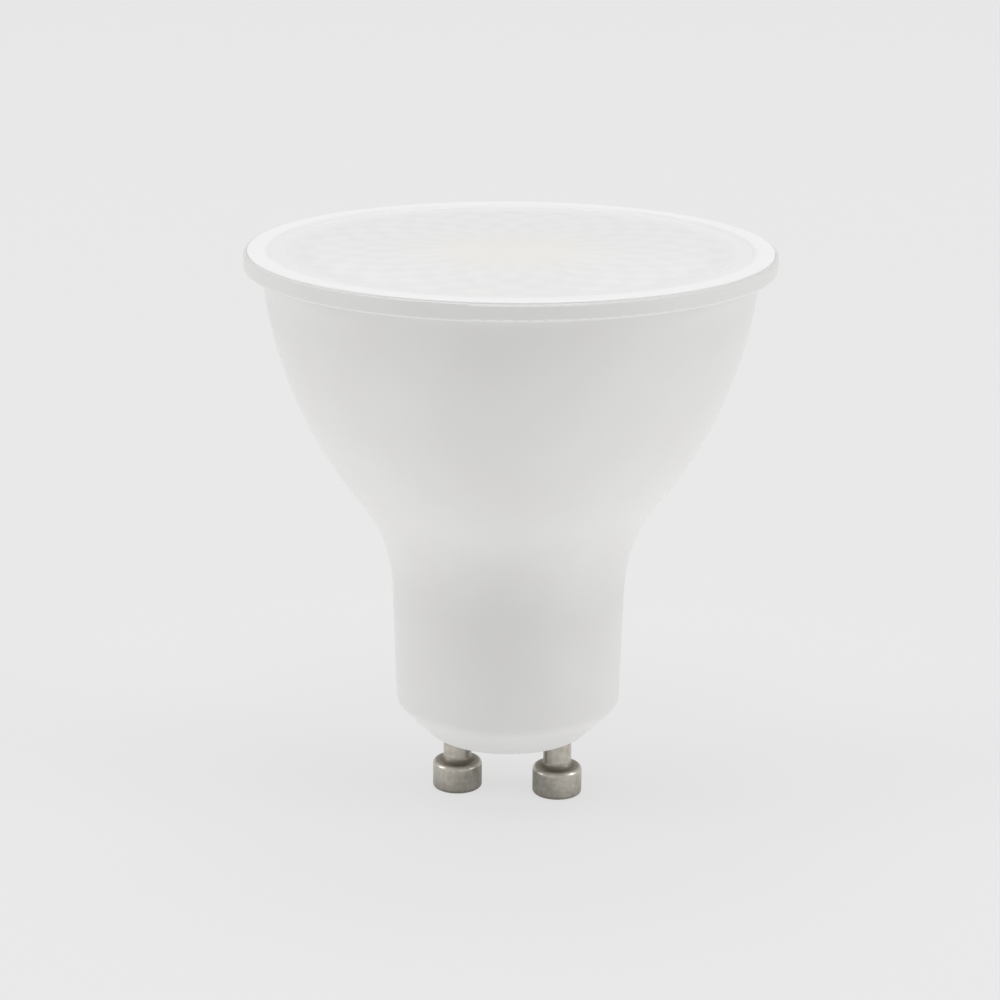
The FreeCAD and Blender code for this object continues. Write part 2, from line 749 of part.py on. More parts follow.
def make_board_screws():
    screws = []
    for side in SCREW_SIDES:
        name = "right_screw" if side > 0 else "left_screw"
        screw = turned(name, [
            (0, "-screw_length"),
            ("screw_radius", "-screw_length"),
            ("screw_radius", 0),
            ("screw_head_radius", 0),
            ("screw_head_radius", "screw_head_height"),
            (0, "screw_head_height"),
        ])
        round_circles(screw, "head_rounding", "screw_head_round",
                      [("screw_head_radius", "screw_head_height")])
        place(screw, f"{side} * screw_circle", 0, "led_board_top")
        recess_z = "led_board_top + screw_head_height - recess_depth"
        recess_height = "recess_depth + cut_overrun"
        wide = box(f"{name}_recess_wide", "screw_head_radius", "recess_width", recess_height,
                   f"{side} * screw_circle - screw_head_radius / 2", "-recess_width / 2", recess_z)
        deep = box(f"{name}_recess_deep", "recess_width", "screw_head_radius", recess_height,
                   f"{side} * screw_circle - recess_width / 2", "-screw_head_radius / 2", recess_z)
        screws.append(cut(f"{name}_cut", screw, [wide, deep]))
    group = doc.addObject("Part::Compound", "screw_group")
    group.Links = screws
    keep(group, "board_screws")


def make_leds():
    """One package in the middle and a ring of them, each with its phosphor fill."""
    for index in range(LED_RING_COUNT + 1):
        ringed = index > 0
        angle = 360 / LED_RING_COUNT * index
        reach = number("led_ring_radius") if ringed else 0.0
        turn = Rotation(Vector(0, 0, 1), angle)
        seat = turn.multVec(Vector(reach, 0, 0)) + Vector(0, 0, number("led_board_top"))
        body = box(f"led_body_{index + 1}", "led_length", "led_width", "led_height",
                   "-led_length / 2", "-led_width / 2")
        fill = cone(f"led_fill_{index + 1}", "phosphor_foot_radius", "phosphor_radius",
                    "phosphor_depth", z="phosphor_bottom")
        package = cut(f"led_package_{index + 1}", body, [fill])
        package.Placement = Placement(seat, turn)
        keep(package, f"led_{index + 1}")
        phosphor = doc.addObject("Part::Compound", f"phosphor_fill_{index + 1}")
        phosphor.Links = [fill]
        phosphor.Placement = Placement(seat, turn)
        keep(phosphor, f"phosphor_{index + 1}")


# Driver board and what it carries


def lead_hole(name, x, z, radius="lead_radius + conductor_fit"):
    """A cutter through the driver board for one lead."""
    return cylinder(name, radius, "driver_thickness + 2 * cut_overrun",
                    x, "board_front + cut_overrun", z, Vector(0, -1, 0))


def make_driver_board():
    blank = box("driver_blank", "2 * board_half_width", "driver_thickness", "board_top - board_bottom",
                "-board_half_width", "board_back", "board_bottom")
    wire_hole = "conductor_radius + conductor_fit"
    holes = [
        lead_hole("live_hole", "pin_spacing / 2", "pin_wire_z", wire_hole),
        lead_hole("neutral_hole", "-pin_spacing / 2", "pin_wire_z", wire_hole),
        lead_hole("positive_hole", "output_wire_across", "output_wire_z", wire_hole),
        lead_hole("negative_hole", "-output_wire_across", "output_wire_z", wire_hole),
        lead_hole("fusible_low_hole", "fusible_across", "fusible_z - 2 * lead_bend"),
        lead_hole("fusible_high_hole", "fusible_across",
                  "fusible_z + fusible_length + 2 * lead_bend"),
    ]
    for part, x, z in (
        ("film", 0, "film_z"),
        ("input_can", "input_can_x", "input_can_z - 2 * lead_bend"),
        ("output_can", "output_can_x", "output_can_z - 2 * lead_bend"),
        ("choke", "choke_x", "choke_z"),
    ):
        for side, sign in (("left", "-"), ("right", "+")):
            holes.append(lead_hole(f"{part}_{side}_hole", f"{x} {sign} {part}_pitch / 2", z))
    keep(cut("driver_cut", blank, holes), "driver_board")


def make_pin_wires():
    """Each runs up out of its pin's bore and bends back into the driver board."""
    tip_y = number("board_back") - number("wire_tip")
    stub_y = number("board_front") + number("wire_stub")
    tail = number("pin_tail_top")
    high = number("pin_wire_z")
    for node, side in (("live_wire", 1), ("neutral_wire", -1)):
        x = side * number("pin_spacing") / 2
        sleeve = lead(f"{node}_sleeve", [Vector(x, 0, tail), Vector(x, 0, high),
                                         Vector(x, stub_y, high)], "wire_radius", "pin_wire_bend")
        low_end = cylinder(f"{node}_low_end", "conductor_radius", "pin_bore_depth",
                           f"{side} * pin_spacing / 2", 0, "pin_bore_bottom + conductor_fit")
        high_end = lead(f"{node}_high_end", [Vector(x, stub_y + number("wire_radius"), high),
                                             Vector(x, tip_y, high)], "conductor_radius")
        keep(fuse(f"{node}_joined", [sleeve, low_end, high_end]), node)


def make_output_wires():
    """Each leaves the back of the driver board, bends up and ends in the LED board."""
    stub_y = number("board_back") - number("wire_stub")
    tip_y = number("board_front") + number("wire_tip")
    wall_y = number("output_wire_y")
    low = number("output_wire_z")
    high = number("led_board_bottom")
    for node, side in (("positive_lead", 1), ("negative_lead", -1)):
        x = side * number("output_wire_across")
        sleeve = lead(f"{node}_sleeve", [Vector(x, stub_y, low), Vector(x, wall_y, low),
                                         Vector(x, wall_y, high)], "wire_radius", "output_wire_bend")
        low_end = lead(f"{node}_low_end", [Vector(x, stub_y - number("wire_radius"), low),
                                           Vector(x, tip_y, low)], "conductor_radius")
        high_end = lead(f"{node}_high_end", [
            Vector(x, wall_y, high - number("wire_radius")),
            Vector(x, wall_y, number("led_board_top") + number("wire_tip"))], "conductor_radius")
        keep(fuse(f"{node}_joined", [sleeve, low_end, high_end]), node)


def board_leads(part, x, y, z, pitch):
    """Two leads that leave a can downwards and bend back through the driver board."""
    tip_y = number("board_back") - number("wire_tip")
    drop = 2 * number("lead_bend")
    leads = []
    for side, sign in (("left", -1), ("right", 1)):
        lead_x = x + sign * pitch / 2
        leads.append(lead(f"{part}_{side}_lead", [
            Vector(lead_x, y, z + drop), Vector(lead_x, y, z - drop), Vector(lead_x, tip_y, z - drop)]))
    return leads


def make_can(part, node):
    """An electrolytic capacitor lying upright against the board, with its rolled groove."""
    body = doc.addObject("PartDesign::Body", part)
    can = body.newObject("PartDesign::AdditiveCylinder", f"{part}_can")
    bind(can, "Radius", f"{part}_radius")
    bind(can, "Height", f"{part}_length")
    body.Tip = can
    doc.recompute()
    round_circles(body, "rounding", "can_round",
                  [(f"{part}_radius", 0), (f"{part}_radius", f"{part}_length")])
    groove = doc.addObject("Part::Torus", f"{part}_groove")
    bind(groove, "Radius1", f"{part}_radius")
    bind(groove, "Radius2", "can_groove_depth")
    place(groove, z="can_groove_height")
    grooved = cut(f"{part}_grooved", body, [groove])
    place(grooved, f"{part}_x", f"{part}_y", f"{part}_z")
    leads = board_leads(part, number(f"{part}_x"), number(f"{part}_y"), number(f"{part}_z"),
                        number(f"{part}_pitch"))
    keep(fuse(f"{part}_joined", [grooved, *leads]), node)


def straight_leads(part, x, z, depth):
    """Two straight leads from inside a part's foot back through the driver board."""
    tip_y = number("board_back") - number("wire_tip")
    leads = []
    for side, sign in (("left", -1), ("right", 1)):
        lead_x = x + sign * number(f"{part}_pitch") / 2
        leads.append(lead(f"{part}_{side}_lead", [
            Vector(lead_x, number("board_front") + depth, z), Vector(lead_x, tip_y, z)]))
    return leads


def make_film_capacitor():
    block = box("film_block", "film_length", "film_height", "film_thickness",
                "-film_length / 2", "board_front + part_seat", "film_z - film_thickness / 2")
    doc.recompute()
    rounded = doc.addObject("Part::Fillet", "film_rounded")
    rounded.Base = block
    size = number("film_round")
    rounded.Edges = [(index, size, size) for index, edge in enumerate(block.Shape.Edges, start=1)
                     if abs(edge.tangentAt(edge.FirstParameter).y) > 0.5]
    leads = straight_leads("film", 0, number("film_z"), number("film_round"))
    keep(fuse("film_joined", [rounded, *leads]), "film_capacitor")


def make_choke():
    """A ferrite drum that stands on the board, with its coil between the flanges."""
    drum = turned("drum", [
        (0, 0),
        ("choke_radius", 0),
        ("choke_radius", "choke_flange"),
        ("choke_core_radius", "choke_flange"),
        ("choke_core_radius", "choke_top_flange"),
        ("choke_radius", "choke_top_flange"),
        ("choke_radius", "choke_height"),
        (0, "choke_height"),
    ])
    coil = turned("coil", [
        ("choke_winding_bore", "choke_winding_low"),
        ("choke_winding_radius", "choke_winding_low"),
        ("choke_winding_radius", "choke_winding_high"),
        ("choke_winding_bore", "choke_winding_high"),
    ])
    for body in (drum, coil):
        body.Placement = Placement(Vector(), Rotation(Vector(0, 0, 1), Vector(0, 1, 0)))
        place(body, "choke_x", "choke_y", "choke_z")
    leads = straight_leads("choke", number("choke_x"), number("choke_z"),
                           number("choke_flange") / 2)
    keep(fuse("drum_joined", [drum, *leads]), "choke_core")
    keep(coil, "choke_winding")


def make_fusible_resistor():
    barrel = cylinder("fusible_barrel", "fusible_radius", "fusible_length",
                      "fusible_across", "fusible_y", "fusible_z")
    caps = [
        cylinder("fusible_low_cap", "fusible_cap_radius", "fusible_cap_length",
                 "fusible_across", "fusible_y", "fusible_z"),
        cylinder("fusible_high_cap", "fusible_cap_radius", "fusible_cap_length",
                 "fusible_across", "fusible_y", "fusible_z + fusible_length - fusible_cap_length"),
    ]
    x = number("fusible_across")
    y = number("fusible_y")
    low = number("fusible_z")
    high = low + number("fusible_length")
    drop = 2 * number("lead_bend")
    tip_y = number("board_back") - number("wire_tip")
    leads = [
        lead("fusible_low_lead", [Vector(x, y, low + drop), Vector(x, y, low - drop),
                                  Vector(x, tip_y, low - drop)]),
        lead("fusible_high_lead", [Vector(x, y, high - drop), Vector(x, y, high + drop),
                                   Vector(x, tip_y, high + drop)]),
    ]
    keep(fuse("fusible_joined", [barrel, *caps, *leads]), "fusible_resistor")


def gull_leg(name, part, x, end):
    """One leg at the upper end (1) or lower end (-1) of a package on the board's back."""
    width = f"{part}_leg_width"
    left = f"{x} - {width} / 2"
    edge = f"{part}_z + {end} * {part}_width / 2"
    shoulder_low = f"{edge} - leg_thickness" if end > 0 else f"{edge} - leg_reach / 2"
    riser_low = f"{edge} + leg_reach / 2 - leg_thickness" if end > 0 else f"{edge} - leg_reach / 2"
    foot_low = f"{edge} + leg_reach / 2 - leg_thickness" if end > 0 else f"{edge} - leg_reach"
    return [
        box(f"{name}_shoulder", width, "leg_thickness", "leg_reach / 2 + leg_thickness",
            left, "board_back - leg_height", shoulder_low),
        box(f"{name}_riser", width, "leg_height", "leg_thickness",
            left, "board_back - leg_height", riser_low),
        box(f"{name}_foot", width, "leg_thickness", "leg_reach / 2 + leg_thickness",
            left, "board_back - leg_thickness", foot_low),
    ]


def make_package(part, node, legs_per_end):
    """A moulded package on the board's back, with gull-wing legs at its two ends."""
    pieces = [box(f"{part}_body", f"{part}_length", f"{part}_thickness", f"{part}_width",
                  f"{part}_across - {part}_length / 2",
                  f"board_back - body_standoff - {part}_thickness",
                  f"{part}_z - {part}_width / 2")]
    for leg in range(legs_per_end):
        steps = leg - (legs_per_end - 1) / 2
        x = f"{part}_across" + (f" + {steps} * {part}_leg_pitch" if steps else "")
        for end, where in ((1, "upper"), (-1, "lower")):
            pieces += gull_leg(f"{part}_{where}_leg_{leg + 1}", part, x, end)
    keep(fuse(f"{part}_joined", pieces), node)


def make_land_chip(part, size, node):
    """A chip resistor or capacitor on the board's back, with its two end lands."""
    low_z = f"{part}_z - {size}_width / 2"
    left = f"{size}_across - {size}_length / 2"
    pieces = [box(f"{part}_body", f"{size}_length", f"{size}_thickness", f"{size}_width",
                  left, f"board_back - land_thickness - {size}_thickness", low_z)]
    for side, x in (("left", left), ("right", f"{size}_across + {size}_length / 2 - land_length")):
        pieces.append(box(f"{part}_{side}_land", "land_length",
                          f"{size}_thickness + 2 * land_thickness", f"{size}_width",
                          x, f"board_back - 2 * land_thickness - {size}_thickness", low_z))
    keep(fuse(f"{part}_joined", pieces), node)


def write_subparts():
    """Checks every object and writes each sub-part's solid to its own file."""
    doc.recompute()
    for thing in doc.Objects:
        if {"Invalid", "Error"} & set(thing.State):
            raise RuntimeError(f"{thing.Label} failed: {thing.State}")
    for part in subparts:
        if part.Shape.isNull() or not part.Shape.isValid():
            raise RuntimeError(f"{part.Label} has no valid shape")
    os.makedirs("parts", exist_ok=True)
    for part in subparts:
        part.Shape.exportStep(f"parts/{part.Label}.step")
        print(part.Label, len(part.Shape.Solids), round(part.Shape.Volume, 2))


make_housing()
make_pins()
make_lens()
make_heat_sink_cup()
make_stack_discs()
make_board_screws()
make_leds()
make_driver_board()
make_pin_wires()
make_output_wires()
make_film_capacitor()
make_can("input_can", "input_capacitor")
make_can("output_can", "output_capacitor")
make_choke()
make_fusible_resistor()
make_package("bridge", "bridge_rectifier", 2)
make_package("chip", "driver_chip", 4)
make_package("diode", "freewheel_diode", 1)
make_land_chip("low_resistor", "resistor", "sense_resistor_1")
make_land_chip("high_resistor", "resistor", "sense_resistor_2")
make_land_chip("small_capacitor", "capacitor", "chip_capacitor")
write_subparts()
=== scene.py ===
import json
import math

import bpy
from mathutils import Matrix, Vector


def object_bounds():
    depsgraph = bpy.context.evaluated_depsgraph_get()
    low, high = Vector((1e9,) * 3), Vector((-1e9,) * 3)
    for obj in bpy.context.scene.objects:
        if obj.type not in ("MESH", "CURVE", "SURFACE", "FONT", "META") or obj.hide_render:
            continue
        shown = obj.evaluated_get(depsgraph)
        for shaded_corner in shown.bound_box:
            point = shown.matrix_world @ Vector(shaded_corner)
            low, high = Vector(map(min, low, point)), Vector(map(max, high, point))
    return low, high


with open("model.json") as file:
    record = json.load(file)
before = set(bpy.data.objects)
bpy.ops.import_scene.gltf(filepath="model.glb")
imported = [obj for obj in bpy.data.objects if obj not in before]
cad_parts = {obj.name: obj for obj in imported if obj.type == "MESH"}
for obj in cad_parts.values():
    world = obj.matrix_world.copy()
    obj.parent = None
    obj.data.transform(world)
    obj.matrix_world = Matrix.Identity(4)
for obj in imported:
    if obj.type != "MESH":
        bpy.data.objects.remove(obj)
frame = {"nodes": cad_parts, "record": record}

# GU10 spotlight lamp on a pale studio floor. Metres, with the lamp's axis along Z and the end
# faces of its two contact pins at z = 0.

MM = 0.001
CAD_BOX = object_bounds()
scene = bpy.context.scene

# Camera: its distance from the lamp's axis and its height, its angles in radians, the width of its
# sensor in millimetres, and its focal length as a multiple of that width
CAMERA_DISTANCE = 0.240
CAMERA_HEIGHT = 0.10093
CAMERA_AZIMUTH = math.radians(7.89)
CAMERA_TURN = -0.00368
CAMERA_TILT = 0.2876
CAMERA_ROLL = -0.00662
SENSOR_WIDTH = 36
FOCAL_RATIO = 2.5949

# Display levels of the backdrop and the floor, and how much of the floor's shader is glow. The
# rest of it is plain diffuse, and takes the lamp's shadow.
BACKDROP_LEVEL = 232
FLOOR_LEVEL = 233
FLOOR_SIZE = 2.2
FLOOR_GLOW_SHARE = 0.78

# Strength of the floor's glow for matt surfaces and for reflections, under the lamp and further
# off, and the distances from the lamp's axis over which it changes
# The weaker glow under the lamp is a painted shadow, seen only in the lamp's light and reflections
FLOOR_GLOW_ON_MATT = (0.87, 1.54)
FLOOR_SHADE_ON_MATT = (5 * MM, 18 * MM)
FLOOR_GLOW_ON_GLOSS = (0.5, 1.3)
FLOOR_SHADE_ON_GLOSS = (5.8 * MM, 13 * MM)

# Light from all round, a soft box on each side, with its angle from the camera's side and its
# power, and one soft box overhead
WORLD_STRENGTH = 0.295
SIDE_LIGHTS = ((math.radians(-82), 23.5), (math.radians(77), 26))
SIDE_LIGHT_DISTANCE = 3
SIDE_LIGHT_HEIGHT = 1.3
SIDE_LIGHT_SIZE = (1.2, 1.8)
TOP_LIGHT_HEIGHT = 3
TOP_LIGHT_SIZE = (3, 3)
TOP_LIGHT_POWER = 62

# Lens: how clear it is when it is looked at squarely and along its face, and the values of Layer
# Weight's Facing over which the one turns into the other
LENS_CLEARNESS = 0.85
LENS_CLEARNESS_ALONG = 0.12
LENS_HAZE_SPAN = (0.2, 0.7)
LENS_ROUGHNESS = 0.12
FROST_ROUGHNESS = 0.5
# Distances from the axis over which the lens turns from clear to frosted, looked at squarely and
# along its face, over which its bright ring begins, and over which the LEDs' colour gathers
LENS_FROST_SPAN = (20.8 * MM, 22.6 * MM)
LENS_FROST_SPAN_ALONG = (19.4 * MM, 21.2 * MM)
LENS_RING_SPAN = (22.6 * MM, 23.2 * MM)
LENS_GLEAM_SPAN = (11 * MM, 3 * MM)
# The collimator's facets, which show faintly in the haze as a painted highlight on every other
# facet: how many there are round the axis, in how many tiers and between which distances from it,
# and how soft the pattern's edges are
LENS_FACETS = 48
LENS_FACET_TIERS = 4
LENS_FACET_SPAN = (8.6 * MM, 19.4 * MM)
LENS_FACET_EDGE = 0.05

# Contact pins: heights over which the painted shade in the corner between head and neck begins and
# ends, and over which the painted shade along the lower edge darkens it
PIN_CORNER_FROM = (2.75 * MM, 2.9 * MM)
PIN_CORNER_TO = (3.5 * MM, 3.1 * MM)
PIN_EDGE_SHADE_SPAN = (0.4 * MM, 0)

# Plain finishes by the record's slots: the two colours in display levels between which each one
# varies, its least and most roughness, and its grain and relief in millimetres
METALS = {
    "aluminium": ((222, 223, 225), (232, 233, 235), (0.35, 0.5), 0.4, 0.006),
    "screw_steel": ((176, 178, 182), (196, 198, 202), (0.2, 0.35), 0.3, 0.004),
}
MOULDINGS = {
    "white_board": ((228, 229, 226), (236, 237, 234), (0.3, 0.45), 0.5, 0.004),
    "grey_pad": ((128, 130, 132), (142, 144, 146), (0.7, 0.85), 0.2, 0.01),
    "natural_plastic": ((214, 208, 192), (222, 217, 203), (0.4, 0.55), 0.3, 0.005),
    "led_white": ((232, 231, 224), (240, 239, 233), (0.35, 0.5), 0.1, 0.002),
    "green_board": ((26, 88, 52), (36, 104, 62), (0.3, 0.45), 0.4, 0.006),
    "white_wire": ((224, 224, 220), (232, 232, 229), (0.4, 0.5), 0.3, 0.004),
    "red_wire": ((170, 28, 24), (188, 38, 32), (0.4, 0.5), 0.3, 0.004),
    "black_wire": ((24, 24, 25), (34, 34, 35), (0.4, 0.5), 0.3, 0.004),
    "film_yellow": ((206, 160, 34), (218, 174, 48), (0.35, 0.5), 0.3, 0.004),
    "can_sleeve": ((28, 30, 36), (40, 42, 48), (0.25, 0.4), 0.3, 0.004),
    "ferrite": ((52, 50, 50), (66, 63, 62), (0.55, 0.7), 0.15, 0.01),
    "resistor_sleeve": ((88, 128, 112), (104, 142, 126), (0.4, 0.55), 0.2, 0.008),
    "black_moulding": ((30, 30, 31), (42, 42, 43), (0.5, 0.65), 0.12, 0.006),
    "chip_ceramic": ((150, 132, 104), (168, 150, 122), (0.4, 0.5), 0.2, 0.004),
}
# How many grains wide their patches of one roughness are. Those of one colour are twice as wide.
METAL_PATCH = 2
MOULDED_PATCH = 3

# The middle part of a noise's values, and all of a factor's
NOISE_SPAN = (0.3, 0.7)
FULL_SPAN = (0, 1)


def linear(*levels):
    """A colour for a shader, from 8-bit display levels."""
    shares = [level / 255 for level in levels]
    return [s / 12.92 if s <= 0.04045 else ((s + 0.055) / 1.055) ** 2.4 for s in shares] + [1]


def grey(level):
    return linear(level, level, level)


# Shader nodes


def feed(tree, socket, value):
    """Links a socket to another one, or gives it a fixed value."""
    if isinstance(value, bpy.types.NodeSocket):
        tree.links.new(value, socket)
    else:
        socket.default_value = value


def calculated(tree, operation, one, other):
    """One Math node on two values, each a number or a socket."""
    node = tree.nodes.new("ShaderNodeMath")
    node.operation = operation
    feed(tree, node.inputs[0], one)
    feed(tree, node.inputs[1], other)
    return node.outputs["Value"]


def ray_kinds(tree, first, *others):
    """1 for rays of these kinds and 0 for all others."""
    light_path = tree.nodes.new("ShaderNodeLightPath")
    either = light_path.outputs[first]
    for kind in others:
        either = calculated(tree, "MAXIMUM", either, light_path.outputs[kind])
    return either


def mixed_shaders(tree, share, first, second):
    """The first shader, with a share of the second in its place."""
    mix = tree.nodes.new("ShaderNodeMixShader")
    feed(tree, mix.inputs["Fac"], share)
    tree.links.new(first, mix.inputs[1])
    tree.links.new(second, mix.inputs[2])
    return mix.outputs["Shader"]


class Shader:
    """A material with one principled shader, and the nodes that vary it over the surface."""

    def __init__(self, name):
        self.material = bpy.data.materials.new(name)
        self.material.use_nodes = True
        self.tree = self.material.node_tree
        self.nodes = self.tree.nodes
        self.links = self.tree.links
        self.principled = self.nodes["Principled BSDF"]
        self.place = self.nodes.new("ShaderNodeTexCoord").outputs["Object"]

    def set(self, **values):
        """Values that are the same all over, by the socket's name with underscores."""
        for socket, value in values.items():
            self.principled.inputs[socket.replace("_", " ")].default_value = value

    def noise(self, grain, detail=3, stretch=(1, 1, 1)):
        """Noise whose blotches are about one grain across, in millimetres."""
        mapping = self.nodes.new("ShaderNodeMapping")
        mapping.inputs["Scale"].default_value = [share / (grain * MM) for share in stretch]
        texture = self.nodes.new("ShaderNodeTexNoise")
        texture.inputs["Scale"].default_value = 1
        texture.inputs["Detail"].default_value = detail
        self.links.new(self.place, mapping.inputs["Vector"])
        self.links.new(mapping.outputs["Vector"], texture.inputs["Vector"])
        return texture.outputs["Fac"]

    def places(self):
        """The places along the lamp's X, Y and Z, in metres."""
        parts = self.nodes.new("ShaderNodeSeparateXYZ")
        self.links.new(self.place, parts.inputs["Vector"])
        return parts.outputs["X"], parts.outputs["Y"], parts.outputs["Z"]

    def radius(self):
        """The distance from the lamp's axis, in metres."""
        flat = self.nodes.new("ShaderNodeVectorMath")
        flat.operation = "MULTIPLY"
        flat.inputs[1].default_value = (1, 1, 0)
        length = self.nodes.new("ShaderNodeVectorMath")
        length.operation = "LENGTH"
        self.links.new(self.place, flat.inputs[0])
        self.links.new(flat.outputs["Vector"], length.inputs[0])
        return length.outputs["Value"]

    def calculate(self, operation, one, other):
        return calculated(self.tree, operation, one, other)

    def ranged(self, factor, low, high, span=NOISE_SPAN):
        """From low to high as the factor crosses its span. Both may be sockets."""
        scale = self.nodes.new("ShaderNodeMapRange")
        scale.inputs["From Min"].default_value, scale.inputs["From Max"].default_value = span
        feed(self.tree, scale.inputs["To Min"], low)
        feed(self.tree, scale.inputs["To Max"], high)
        self.links.new(factor, scale.inputs["Value"])
        return scale.outputs["Result"]

    def vary(self, socket, factor, low, high, span=NOISE_SPAN):
        """Sets a socket of the principled shader from low to high as the factor crosses its span."""
        self.links.new(self.ranged(factor, low, high, span), self.principled.inputs[socket])

    def tint(self, factor, low, high, span=NOISE_SPAN):
        """Base colour between two colours as the factor crosses its span."""
        mix = self.nodes.new("ShaderNodeMix")
        mix.data_type = "RGBA"
        feed(self.tree, mix.inputs["A"], low)
        feed(self.tree, mix.inputs["B"], high)
        self.links.new(self.ranged(factor, 0, 1, span), mix.inputs["Factor"])
        self.links.new(mix.outputs["Result"], self.principled.inputs["Base Color"])

    def stain(self, factor, colour, span=FULL_SPAN):
        """Lays a colour over the base colour as the factor crosses its span."""
        under = self.principled.inputs["Base Color"].links[0].from_socket
        self.tint(factor, under, colour, span)

    def bump(self, factor, depth):
        """Relief of a depth in millimetres, on top of any relief that the shader has already."""
        relief = self.nodes.new("ShaderNodeBump")
        relief.inputs["Distance"].default_value = depth * MM
        self.links.new(factor, relief.inputs["Height"])
        normal = self.principled.inputs["Normal"]
        if normal.is_linked:
            self.links.new(normal.links[0].from_socket, relief.inputs["Normal"])
        self.links.new(relief.outputs["Normal"], normal)

    def cover(self, share, shader):
        """Puts another shader in the place of a share of the principled one."""
        surface = mixed_shaders(self.tree, share, self.principled.outputs["BSDF"], shader)
        self.links.new(surface, self.nodes["Material Output"].inputs["Surface"])


# Materials, by the record's slots


def white_plastic():
    """Matt moulded plastic with the fine grain of a spark-eroded mould."""
    shader = Shader("white_plastic")
    shader.set(IOR=1.5)
    shader.tint(shader.noise(7, detail=2), linear(218, 217, 215), linear(220, 220, 218))
    shader.vary("Roughness", shader.noise(0.5), 0.42, 0.55)
    shader.bump(shader.noise(0.16, detail=2), 0.01)
    shader.bump(shader.noise(1.2, detail=2), 0.008)
    return shader.material


def facet_pattern(shader):
    """1 on every other facet of the collimator and 0 on the facets between. It comes from two
    waves, round the axis and outwards, that pass zero at the facets' edges."""
    x, y, _ = shader.places()
    angle = shader.calculate("ARCTAN2", y, x)
    round_axis = shader.calculate("MULTIPLY", angle, LENS_FACETS / (2 * math.pi))
    foot, mouth = (radius ** 2 for radius in LENS_FACET_SPAN)
    square = shader.calculate("POWER", shader.radius(), 2)
    outwards = shader.calculate("SUBTRACT", square, foot)
    outwards = shader.calculate("MULTIPLY", outwards, LENS_FACET_TIERS / (mouth - foot))
    waves = [shader.calculate("SUBTRACT", shader.calculate("PINGPONG", steps, 1), 0.5)
             for steps in (round_axis, outwards)]
    product = shader.calculate("MULTIPLY", *waves)
    return shader.ranged(product, 0, 1, (-LENS_FACET_EDGE, LENS_FACET_EDGE))


def clear_plastic():
    """Hazy lens plastic, clearer when it is looked at squarely and frosted on its front ring.
    Shadow rays pass its clear part, so that what it covers is lit through it."""
    shader = Shader("clear_plastic")
    shader.set(IOR=1.49)
    radius = shader.radius()

    shader.tint(radius, grey(234), grey(233), LENS_FROST_SPAN_ALONG)
    within = shader.ranged(radius, 1, 0, (LENS_FACET_SPAN[1], LENS_FROST_SPAN_ALONG[1]))
    # Painted highlight: every other facet of the collimator is a lighter tone, standing in for light
    # through the facets
    shader.stain(shader.calculate("MULTIPLY", facet_pattern(shader), within), grey(238))
    shader.stain(radius, grey(240), LENS_RING_SPAN)
    shader.stain(radius, linear(239, 237, 231), LENS_GLEAM_SPAN)

    facing = shader.nodes.new("ShaderNodeLayerWeight").outputs["Facing"]
    squarely = shader.ranged(radius, LENS_CLEARNESS, 0, LENS_FROST_SPAN)
    along = shader.ranged(radius, LENS_CLEARNESS_ALONG, 0, LENS_FROST_SPAN_ALONG)
    shader.vary("Transmission Weight", facing, squarely, along, LENS_HAZE_SPAN)
    unfrosted = shader.ranged(radius, 1, 0, LENS_FROST_SPAN)
    shader.vary("Roughness", unfrosted, FROST_ROUGHNESS, LENS_ROUGHNESS, FULL_SPAN)
    shader.bump(shader.noise(0.9, detail=2), 0.003)

    see_through = shader.nodes.new("ShaderNodeBsdfTransparent")
    passed = shader.calculate("MULTIPLY", ray_kinds(shader.tree, "Is Shadow Ray"), unfrosted)
    shader.cover(passed, see_through.outputs["BSDF"])
    return shader.material


def nickel():
    """Nickel-plated brass, turned and dulled by handling, with painted shade in the corner between
    head and neck and along the lower edge.
    """
    shader = Shader("nickel")
    shader.set(Metallic=1.0)
    shader.tint(shader.noise(0.5), linear(168, 163, 153), linear(188, 184, 175))
    height = shader.places()[2]
    shaded_corner = shader.calculate("MULTIPLY", shader.ranged(height, 0, 1, PIN_CORNER_FROM),
                              shader.ranged(height, 0, 1, PIN_CORNER_TO))
    # Painted shade: the corner between head and neck is darker, and rougher there
    shader.stain(shaded_corner, linear(122, 116, 105))
    # Painted shade: darker towards the lower edge
    shader.stain(height, linear(134, 129, 118), PIN_EDGE_SHADE_SPAN)
    worn = shader.ranged(shader.noise(0.6), 0.26, 0.4)
    shader.vary("Roughness", shaded_corner, worn, 0.55, FULL_SPAN)
    shader.bump(shader.noise(0.12, detail=2, stretch=(0.15, 0.15, 1)), 0.003)
    return shader.material


def phosphor():
    """Silicone filled with yellow phosphor grains."""
    shader = Shader("phosphor")
    shader.set(IOR=1.41, Subsurface_Weight=0.2,
               Subsurface_Radius=(0.4 * MM, 0.3 * MM, 0.1 * MM))
    shader.tint(shader.noise(0.08, detail=2), linear(236, 200, 84), linear(246, 219, 116))
    shader.vary("Roughness", shader.noise(0.3), 0.25, 0.4)
    shader.bump(shader.noise(0.1), 0.004)
    return shader.material


def copper_coil():
    """Enamelled copper wire wound in close turns."""
    shader = Shader("copper_coil")
    shader.set(Metallic=1.0)
    shader.tint(shader.noise(0.7), linear(176, 92, 52), linear(204, 118, 70))
    shader.vary("Roughness", shader.noise(0.4), 0.25, 0.4)
    shader.bump(shader.noise(0.2, detail=1, stretch=(0.1, 1, 0.1)), 0.05)
    return shader.material


def plain(name, low, high, roughness, grain, relief, patch, metallic):
    """A finish out of one of the tables."""
    shader = Shader(name)
    shader.set(Metallic=metallic)
    shader.tint(shader.noise(grain * patch * 2), linear(*low), linear(*high))
    shader.vary("Roughness", shader.noise(grain * patch), *roughness)
    shader.bump(shader.noise(grain), relief)
    return shader.material


